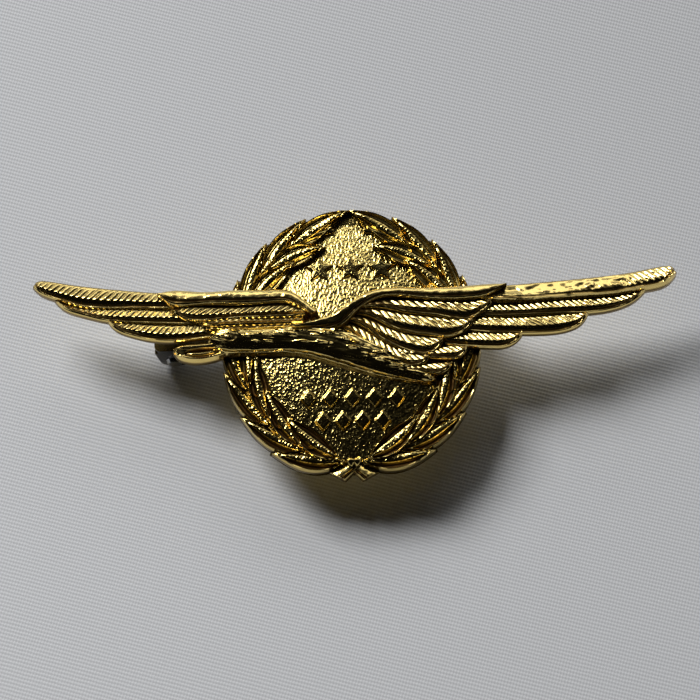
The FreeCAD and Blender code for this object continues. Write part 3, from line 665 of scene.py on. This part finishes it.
def leaf(relief, kind, n, side):
    """An almond leaf: a thin raised rim, a deep groove inside it and a grained spindle in the middle."""
    flat, along, across = leaf_grid(kind, n)
    half = leaf_half(kind, along)
    deep = 1 - np.abs(across)
    inside = deep * half
    core = ease(0.56, 0.74, deep) * ease(0.25, 0.6, half)
    hollow = bump(0.4, 0.3, deep) * ease(0.2, 0.5, half)
    rim = 0.2 * bump(0.1, 0.12, inside) * ease(0.05, 0.3, half)
    spindle = 0.06 * core + 0.12 * core * (1 - across**2 * 5)
    barbs = np.abs(np.sin(math.pi * (along * LEAF_LONG + np.abs(across) * half) / LEAF_BARB))
    grain = (0.07 * (barbs - 0.5) + 0.05 * rough(flat, 4.4, n + side * 7.0)) * core
    edge = -0.16 * (1 - ease(0.0, 0.07, inside))
    wave = 0.04 * rough(flat, 0.8, n + side * 3.0)
    height = FIELD + 0.5 + kind["lift"] + 0.3 * along + rim - 0.3 * hollow + spindle + grain + edge + wave
    # Painted shade: the hollows and walls of the lower leaves are painted darker, and those of the upper
    # leaves at 0.3 of that, as the lower leaves lie in shade.
    dark = 1 - 0.7 * ease(-4.0, 5.0, flat[..., 1])
    patina_and_shade = np.clip(1.2 * hollow, 0, 1) * dark
    top = np.dstack([flat * np.array([side, 1.0]), height])
    relief.grid(top, patina_and_shade, FIELD - 0.15, draft=0.06, shade=dark.mean())


def branch(side, name, replaced, material):
    """Every leaf of one branch, and the stem between them. Side is 1 on the left and -1 on the right."""
    relief = Relief()
    for kind, n in every_leaf():
        leaf(relief, kind, n, side)
    turn = np.linspace(5, 172, 190)[:, None]
    across = np.linspace(-1, 1, 9)[None, :]
    flat = rim_point(turn + 0 * across, STEM_SHARE + STEM_HALF * across)
    arch = np.sqrt(np.clip(1 - across**2, 0, 1)) + 0 * turn
    top = np.dstack([flat * np.array([side, 1.0]), FIELD + 0.2 + 0.4 * arch])
    # The stem's sides are painted darker where its arch falls away: painted shade.
    relief.grid(top, 1 - arch, FIELD - 0.15, draft=0.05)
    relief.build(name, material, replaced)


def tie(material):
    """Two cut stems that cross, and the knot that binds them."""
    relief = Relief()
    for side, lift in ((1, 0.0), (-1, 0.12)):
        upper = [(side * -0.45, -11.3), (side * 0.35, -11.95), (side * 1.25, -12.45), (side * 2.3, -12.85)]
        lower = [(side * -0.9, -11.8), (side * -0.25, -12.5), (side * 0.3, -13.1), (side * 0.85, -13.62)]
        rounded(relief, upper, lower, FIELD + 0.15 + lift, 0.3, FIELD - 0.3, side, groove=0.16)
    # The knot's two lumps are turned over, so that their top lines lie nearer their upper edges.
    for side in (1, -1):
        top = [(side * 0.04, -11.66), (side * 0.2, -11.58), (side * 0.42, -11.6), (side * 0.64, -11.85)]
        foot = [(side * 0.04, -12.2), (side * 0.18, -12.4), (side * 0.45, -12.36), (side * 0.64, -12.05)]
        rounded(relief, foot, top, FIELD + 0.55, 0.5, FIELD - 0.1, side + 3.3)
    relief.build("branch_tie_relief", material, "branch_tie")


# The medallion: its own oval's half axes, its back's share of the outline, its rings and their points.
PLATE_WIDE, PLATE_TALL = 11.7, 13.0
PLATE_TAPER = 0.964
PLATE_RINGS = 44
PLATE_POINTS = 720

# The stippled field: its half axes and the points on a side, its dome and how much of that falls across
# its width, the depth of its grain, the stars, and the rows of lozenges: their y, number and pitch.
FIELD_WIDE, FIELD_TALL = 11.0, 12.5
FIELD_POINTS = 330
DOME = 1.3
DOME_ACROSS = 0.75
GRAIN = 0.046
MARK_RISE = 0.28
STARS = {"count": 3, "pitch": 3.0, "up": 7.6, "radius": 1.55, "waist": 0.5, "lean": 0.13}
LOZENGE_ROWS = [(-5.7, 5, 2.1), (-7.9, 4, 1.9)]
LOZENGE_WIDE, LOZENGE_TALL = 0.85, 1.05


def outline_reach(turns):
    """How far the plate reaches at each angle: its own oval, or the leaves that stand out of it."""
    oval = PLATE_WIDE * PLATE_TALL / np.hypot(PLATE_TALL * np.cos(turns), PLATE_WIDE * np.sin(turns))
    left = np.concatenate([leaf_grid(kind, n, 90, 2)[0].reshape(-1, 2) for kind, n in every_leaf()])
    spots = np.concatenate([left, left * np.array([-1.0, 1.0])])
    angle, reach = np.arctan2(spots[:, 1], spots[:, 0]), np.hypot(spots[:, 0], spots[:, 1])
    lobes = np.zeros_like(turns)
    for n, turn in enumerate(turns):
        gap = np.abs(np.angle(np.exp(1j * (angle - turn))))
        near = gap < math.radians(1.2)
        lobes[n] = reach[near].max() if near.any() else 0
    return np.maximum(oval, lobes + 0.06)


def plate(material):
    """The medallion: a stippled and slightly domed field, a lobed edge and a plain back."""
    relief = Relief()
    turns = np.linspace(0, 2 * math.pi, PLATE_POINTS, endpoint=False)
    shares = (np.arange(1, PLATE_RINGS + 1) / PLATE_RINGS) ** 0.9
    reach = outline_reach(turns)[None, :] * shares[:, None]
    flat = reach[..., None] * np.stack([np.cos(turns), np.sin(turns)], axis=-1)[None]
    spots = np.concatenate([np.zeros((1, 2)), flat.reshape(-1, 2)])
    share = np.r_[0, np.repeat(shares, PLATE_POINTS)]
    top = np.column_stack([spots, FIELD + 0.02 - 0.3 * ease(0.97, 1.0, share)])
    back = np.column_stack([flat[-1] * PLATE_TAPER, np.full(PLATE_POINTS, PLATE_BACK + 0.12)])
    under = back * np.array([0.992, 0.992, 0]) + np.array([0, 0, PLATE_BACK])
    inner = under * np.array([0.96, 0.96, 1])
    loops = [1 + n * PLATE_POINTS + np.arange(PLATE_POINTS) for n in range(PLATE_RINGS + 3)]
    faces = [[0, loops[0][n - 1], loops[0][n]] for n in range(PLATE_POINTS)]
    for ring, after in zip(loops, loops[1:]):
        faces += band_faces(ring, after)
    faces.append(list(loops[-1]))
    # Painted shade: the face is painted darker towards its rim and the walls by WALL_SHADE; the back is not
    # darkened.
    rim_shade = 0.9 * ease(0.9, 0.97, share)
    shade = np.r_[rim_shade, np.full(PLATE_POINTS, WALL_SHADE), np.zeros(2 * PLATE_POINTS)]
    relief.add(np.concatenate([top, back, under, inner]), faces, shade)
    stipple(relief)
    relief.build("medallion", material, "medallion_plate", angle=60)


def star(x, y, radius, waist):
    """A five-pointed star's height over x, y: 1 at its middle and 0 at its outline."""
    turn = np.arctan2(x, y) % (2 * math.pi / 5)
    turn = np.minimum(turn, 2 * math.pi / 5 - turn)
    toward, across = np.hypot(x, y) * np.cos(turn), np.hypot(x, y) * np.sin(turn)
    edge_toward = radius * waist * math.cos(math.pi / 5) - radius
    edge_across = radius * waist * math.sin(math.pi / 5)
    inside = edge_toward * across - edge_across * (toward - radius)
    return np.clip(inside / (edge_across * radius), 0, 1)


def spots_of(count, pitch):
    """Evenly spaced places about the middle."""
    return [(n - (count - 1) / 2) * pitch for n in range(count)]


def stipple(relief):
    """The grained field inside the wreath, with the stars and the lozenges rising from it."""
    side = np.linspace(-1, 1, FIELD_POINTS)
    u, v = np.meshgrid(side, side, indexing="ij")
    x = u * np.sqrt(1 - v**2 / 2) * FIELD_WIDE
    y = v * np.sqrt(1 - u**2 / 2) * FIELD_TALL
    flat = np.dstack([x, y])
    sunk = DOME_ACROSS * (x / FIELD_WIDE) ** 2 + np.abs(y / FIELD_TALL) ** 1.5
    grain = 0.4 * rough(flat, 2.7, 0.7) + rough(flat, 7.6, 5.5)
    marks, lean = np.zeros_like(x), np.zeros_like(x)
    for middle in spots_of(STARS["count"], STARS["pitch"]):
        spot = star(x - middle, y - STARS["up"], STARS["radius"], STARS["waist"])
        marks = np.maximum(marks, spot)
        lean = np.where(spot > 0, STARS["lean"] * (y - STARS["up"]), lean)
    for row_y, count, pitch in LOZENGE_ROWS:
        for middle in spots_of(count, pitch):
            spot = 1 - np.abs(x - middle) / LOZENGE_WIDE - np.abs(y - row_y) / LOZENGE_TALL
            marks = np.maximum(marks, spot)
    clear = 1 - ease(0.0, 0.12, marks)
    bite = GRAIN * (0.72 + 0.28 * ease(-6.0, 3.0, y))
    height = FIELD + 0.08 + DOME * (1 - sunk) + bite * grain * clear
    height = height + (MARK_RISE + lean) * ease(0.0, 0.24, marks) + 0.03 * np.clip(marks, 0, 1)
    # The grain's pits are painted darker (patina and painted shade), and a dark line is painted round the
    # foot of each star and lozenge as shade.
    patina_and_shade = np.clip(-1.2 * grain, 0, 1) * clear + 0.8 * bump(0.07, 0.06, marks)
    relief.grid(np.dstack([flat, height]), patina_and_shade, FIELD - 0.2, draft=0.02)


# Finishes: the bright and worn colours, the dark colour of patina and painted shade, the roughness, and the
# cast grain's scale and depth in mm.
FINISHES = {
    "relief_gold": ((1.0, 0.8, 0.32), (0.9, 0.65, 0.2), (0.12, 0.06, 0.016), 0.15, 2300.0, 0.06),
    # The laurel and field golds are darker copies of the relief gold: painted shade.
    "laurel_gold_painted_shade": ((0.78, 0.62, 0.23), (0.62, 0.44, 0.12), (0.07, 0.036, 0.01), 0.15, 2300.0, 0.06),
    "field_gold_painted_shade": ((0.86, 0.69, 0.25), (0.72, 0.52, 0.14), (0.05, 0.028, 0.008), 0.12, 4200.0, 0.1),
    # The nickel is painted near black: painted shade for hardware that lies in shadow.
    "nickel_plate_painted_shade": ((0.13, 0.125, 0.12), (0.09, 0.085, 0.08), (0.04, 0.04, 0.04), 0.24, 4200.0, 0.03),
    "pin_steel": ((0.62, 0.62, 0.61), (0.5, 0.5, 0.5), (0.2, 0.2, 0.2), 0.2, 5200.0, 0.02),
    "solder": ((0.42, 0.42, 0.43), (0.3, 0.3, 0.32), (0.1, 0.1, 0.1), 0.42, 1800.0, 0.12),
    "rivet_brass": ((0.85, 0.6, 0.24), (0.7, 0.46, 0.17), (0.2, 0.12, 0.05), 0.28, 2600.0, 0.04),
}
CAD_FINISHES = {
    "bar_strip": "nickel_plate_painted_shade",
    "hinge_bracket": "nickel_plate_painted_shade",
    "hinge_rivet": "pin_steel",
    "pin_stem": "pin_steel",
    "catch_housing": "nickel_plate_painted_shade",
    "safety_sleeve": "nickel_plate_painted_shade",
    "solder_seams": "solder",
    "overlay_rivets": "rivet_brass",
}


def new_material(name):
    """An empty material, its node tree, its shader and a function that adds a node."""
    material = bpy.data.materials.new(name)
    material.use_nodes = True
    tree = material.node_tree
    shader = tree.nodes["Principled BSDF"]

    def add(kind, **values):
        made = tree.nodes.new(kind)
        for key, value in values.items():
            if hasattr(made, key):
                setattr(made, key, value)
            else:
                made.inputs[key.replace("_", " ")].default_value = value
        return made

    return material, tree, shader, add


def metal(name, bright, worn, dark, roughness, grain, depth):
    """Plated metal: cloudy colour, a brown darkening read from the mesh (patina in hollows and painted
    shade), uneven gloss and a fine cast grain.
    """
    material, tree, shader, add = new_material(name)
    link = tree.links.new
    place = add("ShaderNodeTexCoord")
    cloud = add("ShaderNodeTexNoise", Scale=260.0, Detail=4.0)
    link(place.outputs["Object"], cloud.inputs["Vector"])
    tone = add("ShaderNodeMix", data_type="RGBA")
    tone.inputs["A"].default_value = (*bright, 1)
    tone.inputs["B"].default_value = (*worn, 1)
    link(cloud.outputs["Fac"], tone.inputs["Factor"])
    patina_and_shade = add("ShaderNodeAttribute", attribute_name="patina_and_shade")
    patina_and_shade_mix = add("ShaderNodeMix", data_type="RGBA")
    patina_and_shade_mix.inputs["B"].default_value = (*dark, 1)
    link(patina_and_shade.outputs["Fac"], patina_and_shade_mix.inputs["Factor"])
    link(tone.outputs["Result"], patina_and_shade_mix.inputs["A"])
    link(patina_and_shade_mix.outputs["Result"], shader.inputs["Base Color"])
    gloss = add("ShaderNodeMapRange", To_Min=roughness * 0.75, To_Max=roughness * 1.35)
    link(cloud.outputs["Fac"], gloss.inputs["Value"])
    dull = add("ShaderNodeMath", operation="MULTIPLY_ADD")
    dull.inputs[1].default_value = 0.22
    link(patina_and_shade.outputs["Fac"], dull.inputs[0])
    link(gloss.outputs["Result"], dull.inputs[2])
    link(dull.outputs["Value"], shader.inputs["Roughness"])
    pits = add("ShaderNodeTexNoise", Scale=grain, Detail=3.0)
    link(place.outputs["Object"], pits.inputs["Vector"])
    relief = add("ShaderNodeBump", Strength=0.5, Distance=depth * MM)
    link(pits.outputs["Fac"], relief.inputs["Height"])
    link(relief.outputs["Normal"], shader.inputs["Normal"])
    shader.inputs["Metallic"].default_value = 1.0
    return material


def dress_cad_nodes(metals):
    """Gives the CAD pieces that are shown as they are their finishes."""
    for node, finish in CAD_FINISHES.items():
        mesh = frame["nodes"][node].data
        mesh.materials.clear()
        mesh.materials.append(metals[finish])


# The cloth's ribs, in mm and degrees. A wave texture of scale 1 repeats every 2 pi / 20 of a metre.
RIB_PITCH = 0.37
RIB_SLANT = -17
RIB_DEPTH = 0.04
RIB_SCALE = 2 * math.pi / (20 * RIB_PITCH * MM)


def cloth():
    """Pale ribbed cloth for the backdrop: slanting ribs that crossing threads break up."""
    material, tree, shader, add = new_material("backdrop_cloth")
    link = tree.links.new
    place = add("ShaderNodeTexCoord")
    slant = add("ShaderNodeMapping")
    slant.inputs["Rotation"].default_value = (0, math.radians(RIB_SLANT), 0)
    link(place.outputs["Object"], slant.inputs["Vector"])
    ribs = add("ShaderNodeTexWave", Scale=RIB_SCALE, Distortion=0.6, bands_direction="Z")
    threads = add("ShaderNodeTexWave", Scale=RIB_SCALE * 1.3, Distortion=0.8, bands_direction="X")
    for wave in (ribs, threads):
        link(slant.outputs["Vector"], wave.inputs["Vector"])
    weave = add("ShaderNodeMath", operation="MULTIPLY_ADD")
    weave.inputs[1].default_value = 0.5
    link(threads.outputs["Fac"], weave.inputs[0])
    link(ribs.outputs["Fac"], weave.inputs[2])
    relief = add("ShaderNodeBump", Strength=0.5, Distance=RIB_DEPTH * MM)
    link(weave.outputs["Value"], relief.inputs["Height"])
    link(relief.outputs["Normal"], shader.inputs["Normal"])
    tone = add("ShaderNodeMix", data_type="RGBA")
    tone.inputs["A"].default_value = (0.62, 0.63, 0.65, 1)
    tone.inputs["B"].default_value = (0.74, 0.75, 0.77, 1)
    link(weave.outputs["Value"], tone.inputs["Factor"])
    link(tone.outputs["Result"], shader.inputs["Base Color"])
    shader.inputs["Roughness"].default_value = 0.85
    show_one_side(tree, shader, add)
    return material


def show_one_side(tree, shader, add):
    """The backdrop is seen from its front only and casts no shadow, so views from behind look past it."""
    link = tree.links.new
    side = add("ShaderNodeNewGeometry")
    ray = add("ShaderNodeLightPath")
    gone = add("ShaderNodeMath", operation="MAXIMUM")
    link(side.outputs["Backfacing"], gone.inputs[0])
    link(ray.outputs["Is Shadow Ray"], gone.inputs[1])
    clear = add("ShaderNodeBsdfTransparent")
    pick = add("ShaderNodeMixShader")
    link(gone.outputs["Value"], pick.inputs["Fac"])
    link(shader.outputs["BSDF"], pick.inputs[1])
    link(clear.outputs["BSDF"], pick.inputs[2])
    link(pick.outputs["Shader"], tree.nodes["Material Output"].inputs["Surface"])


# The backdrop, in metres: its gap behind the pin, its half width, and how soon and how steeply it rises.
BACKDROP_GAP = 0.00008
BACKDROP_HALF = 0.45
BACKDROP_CUTS = 120
BACKDROP_REACH = 0.05
BACKDROP_SLOPE = 0.22


def backdrop():
    """The cloth that the badge lies against, just behind its pin, which rises gently above and below."""
    work = bmesh.new()
    bmesh.ops.create_grid(work, x_segments=BACKDROP_CUTS, y_segments=BACKDROP_CUTS, size=BACKDROP_HALF)
    for vert in work.verts:
        x, z = vert.co.x, vert.co.y
        rise = BACKDROP_SLOPE * BACKDROP_REACH * (math.sqrt(1 + (z / BACKDROP_REACH) ** 2) - 1)
        vert.co = Vector((x, CAD_BOX[1].y + BACKDROP_GAP - rise, z))
    work.normal_update()
    if sum(face.normal.y for face in work.faces) > 0:
        bmesh.ops.reverse_faces(work, faces=work.faces)
    mesh = bpy.data.meshes.new("backdrop")
    work.to_mesh(mesh)
    work.free()
    mesh.shade_smooth()
    mesh.materials.append(cloth())
    made = bpy.data.objects.new("backdrop", mesh)
    bpy.context.scene.collection.objects.link(made)


def softbox(name, where, wide, tall, power, tint):
    """An area light at face coordinates in millimetres, aimed at the badge."""
    light = bpy.data.lights.new(name, "AREA")
    light.shape = "RECTANGLE"
    light.size, light.size_y = wide * MM, tall * MM
    light.energy = power
    light.color = tint
    made = bpy.data.objects.new(name, light)
    bpy.context.scene.collection.objects.link(made)
    made.location = Vector(stand_up(where))
    made.rotation_euler = (-made.location).to_track_quat("-Z", "Y").to_euler()


def lights():
    """A key from the upper left, a long strip above that catches the feathers, and a soft light behind."""
    softbox("key", (-230, 260, 330), 220, 170, 1.85, (1.0, 1.0, 1.0))
    softbox("strip", (40, 380, 240), 320, 200, 0.24, (1.0, 0.99, 0.96))
    softbox("behind", (80, 260, -420), 300, 300, 0.18, (1.0, 0.98, 0.95))


def world():
    """A room that is bright above and dark in front, and pale where the camera looks past the badge."""
    made = bpy.data.worlds.new("room")
    bpy.context.scene.world = made
    made.use_nodes = True
    tree = made.node_tree
    link = tree.links.new
    add = tree.nodes.new
    where = add("ShaderNodeTexCoord")
    split = add("ShaderNodeSeparateXYZ")
    link(where.outputs["Generated"], split.inputs["Vector"])
    ramp = add("ShaderNodeMapRange")
    ramp.interpolation_type = "SMOOTHSTEP"
    ramp.inputs["From Min"].default_value = 0.3
    ramp.inputs["From Max"].default_value = 0.75
    ramp.inputs["To Min"].default_value = 0.002
    ramp.inputs["To Max"].default_value = 0.18
    link(split.outputs["Z"], ramp.inputs["Value"])
    room = tree.nodes["Background"]
    room.inputs["Color"].default_value = (0.97, 0.98, 1.0, 1)
    link(ramp.outputs["Result"], room.inputs["Strength"])
    pale = add("ShaderNodeBackground")
    pale.inputs["Color"].default_value = (0.8, 0.8, 0.79, 1)
    ray = add("ShaderNodeLightPath")
    pick = add("ShaderNodeMixShader")
    link(ray.outputs["Is Camera Ray"], pick.inputs["Fac"])
    link(room.outputs["Background"], pick.inputs[1])
    link(pale.outputs["Background"], pick.inputs[2])
    link(pick.outputs["Shader"], tree.nodes["World Output"].inputs["Surface"])


# The camera: what it looks at, how far from it, its angles in degrees, and the width of the view there.
VIEW_CENTRE = (-0.15, -0.45, FIELD)
VIEW_DISTANCE = 250.0
VIEW_TILT = 70
VIEW_ROLL = 1.3
VIEW_ACROSS = 67.4
SENSOR = 36.0


def camera():
    """Looks down on the face from the side of its lower edge."""
    tilt, roll = math.radians(VIEW_TILT), math.radians(VIEW_ROLL)
    lens = bpy.data.cameras.new("view")
    lens.sensor_width = SENSOR
    lens.lens = SENSOR * VIEW_DISTANCE / VIEW_ACROSS
    lens.clip_start = 0.01
    made = bpy.data.objects.new("view", lens)
    bpy.context.scene.collection.objects.link(made)
    x, y, height = VIEW_CENTRE
    where = (x, y - VIEW_DISTANCE * math.cos(tilt), height + VIEW_DISTANCE * math.sin(tilt))
    eye, spot = Vector(stand_up(where)), Vector(stand_up(VIEW_CENTRE))
    forward = (spot - eye).normalized()
    right = forward.cross(Vector((0, 0, 1))).normalized()
    up = right.cross(forward)
    turn = Matrix((right, up, -forward)).transposed()
    made.matrix_world = Matrix.Translation(eye) @ (turn @ Matrix.Rotation(-roll, 3, "Z")).to_4x4()
    bpy.context.scene.camera = made


def main():
    """Builds every piece and the scene around them."""
    bpy.context.scene.view_settings.view_transform = "Standard"
    metals = {name: metal(name, *finish) for name, finish in FINISHES.items()}
    plate(metals["field_gold_painted_shade"])
    branch(1, "laurel_left_relief", "laurel_branch_left", metals["laurel_gold_painted_shade"])
    branch(-1, "laurel_right_relief", "laurel_branch_right", metals["laurel_gold_painted_shade"])
    tie(metals["laurel_gold_painted_shade"])
    far_wing(metals["relief_gold"])
    bird(metals["relief_gold"])
    near_wing(metals["relief_gold"])
    dress_cad_nodes(metals)
    backdrop()
    lights()
    world()
    camera()


main()
